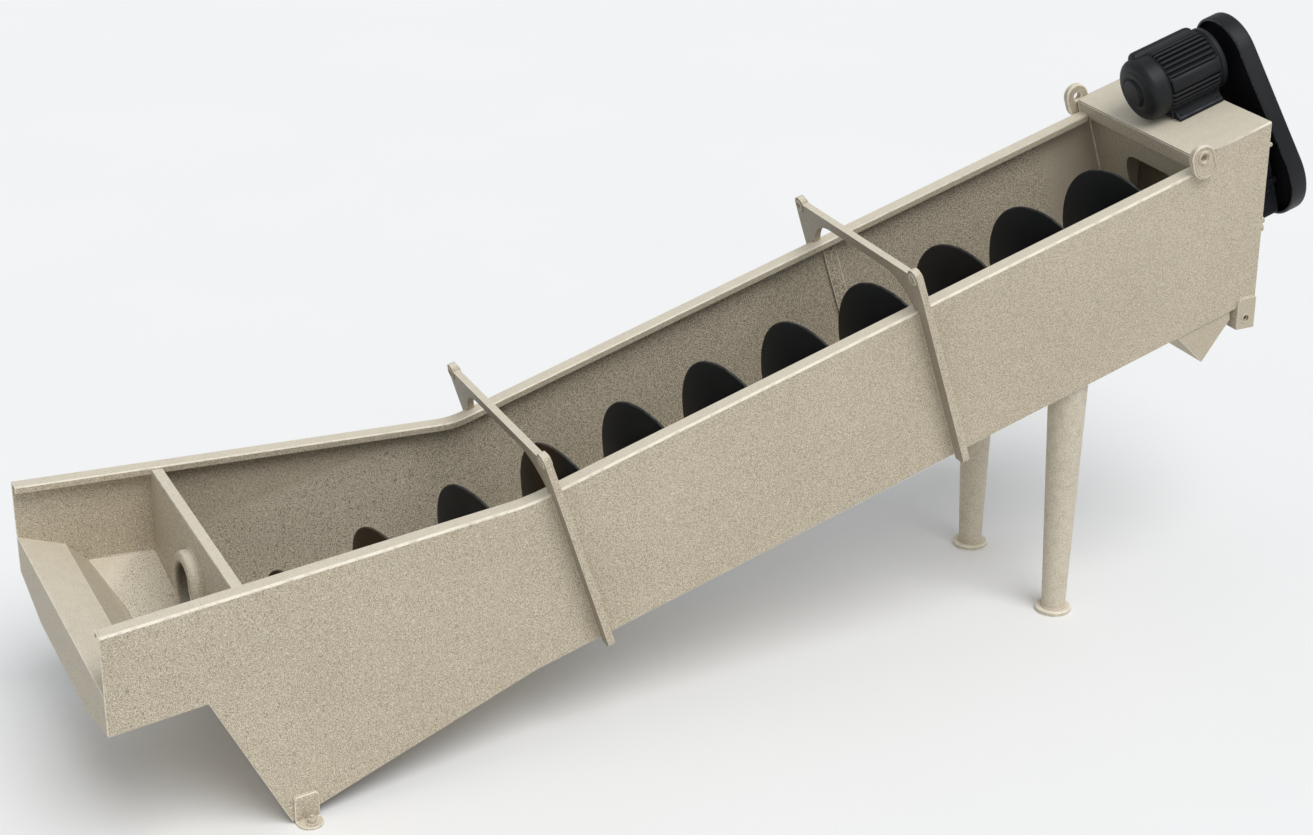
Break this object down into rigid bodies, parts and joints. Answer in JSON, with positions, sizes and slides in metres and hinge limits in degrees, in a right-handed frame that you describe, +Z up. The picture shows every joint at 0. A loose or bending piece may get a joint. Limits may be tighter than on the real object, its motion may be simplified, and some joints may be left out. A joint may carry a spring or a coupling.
{
  "type": "screw_washer",
  "caption": "Inclined screw sand washer: flared settling tank with a weir, sloping trough, helical screw, motor with belt guard, tie frames, legs and a discharge chute.",
  "frame": {"origin": "Centre of the bounding box in plan, at floor level.", "axes": "+X runs along the machine from the overflow end up to the drive end, +Y to the side away from the viewer, +Z up."},
  "size_m": [6.3121, 1.66, 2.9058],
  "materials": {
    "beige_paint": "satin",
    "charcoal_paint": "satin",
    "dark_steel": "worn"
  },
  "bodies": {
    "frame": {"near_tank_wall": "beige_paint", "far_tank_wall": "beige_paint", "near_trough_wall": "beige_paint", "far_trough_wall": "beige_paint", "near_tank_rim": "beige_paint", "far_tank_rim": "beige_paint", "near_trough_rim": "beige_paint", "far_trough_rim": "beige_paint", "trough_pan": "beige_paint", "tank_back_plate": "beige_paint", "overflow_floor": "beige_paint", "weir_ramp": "beige_paint", "weir_plate": "beige_paint", "bulkhead": "beige_paint", "bulkhead_cap": "beige_paint", "bulkhead_collar": "beige_paint", "near_low_tie_post": "beige_paint", "far_low_tie_post": "beige_paint", "low_cross_bar": "beige_paint", "near_high_tie_post": "beige_paint", "far_high_tie_post": "beige_paint", "high_cross_bar": "beige_paint", "near_lifting_lug": "beige_paint", "far_lifting_lug": "beige_paint", "motor_deck": "beige_paint", "front_strip": "beige_paint", "chamber_plate": "beige_paint", "drive_end_plate": "beige_paint", "near_leg": "beige_paint", "far_leg": "beige_paint", "near_anchor_bracket": "beige_paint", "far_anchor_bracket": "beige_paint", "near_corner_bracket": "beige_paint", "far_corner_bracket": "beige_paint", "discharge_chute": "beige_paint", "lower_bearing": "charcoal_paint", "upper_bearing": "charcoal_paint", "motor_fan_cover": "charcoal_paint", "motor_body": "charcoal_paint", "motor_bell": "charcoal_paint", "motor_feet": "charcoal_paint", "speed_reducer": "charcoal_paint", "belt_guard": "charcoal_paint"},
    "screw": {"screw_shaft": "dark_steel", "screw_flights": "dark_steel"}
  },
  "joints": [
    {"name": "screw_turn", "type": "hinge", "parent": "frame", "child": "screw", "pos_m": [-0.99044, 0, 0.82879], "axis": [0.9563, 0, 0.2924], "continuous": true}
  ]
}
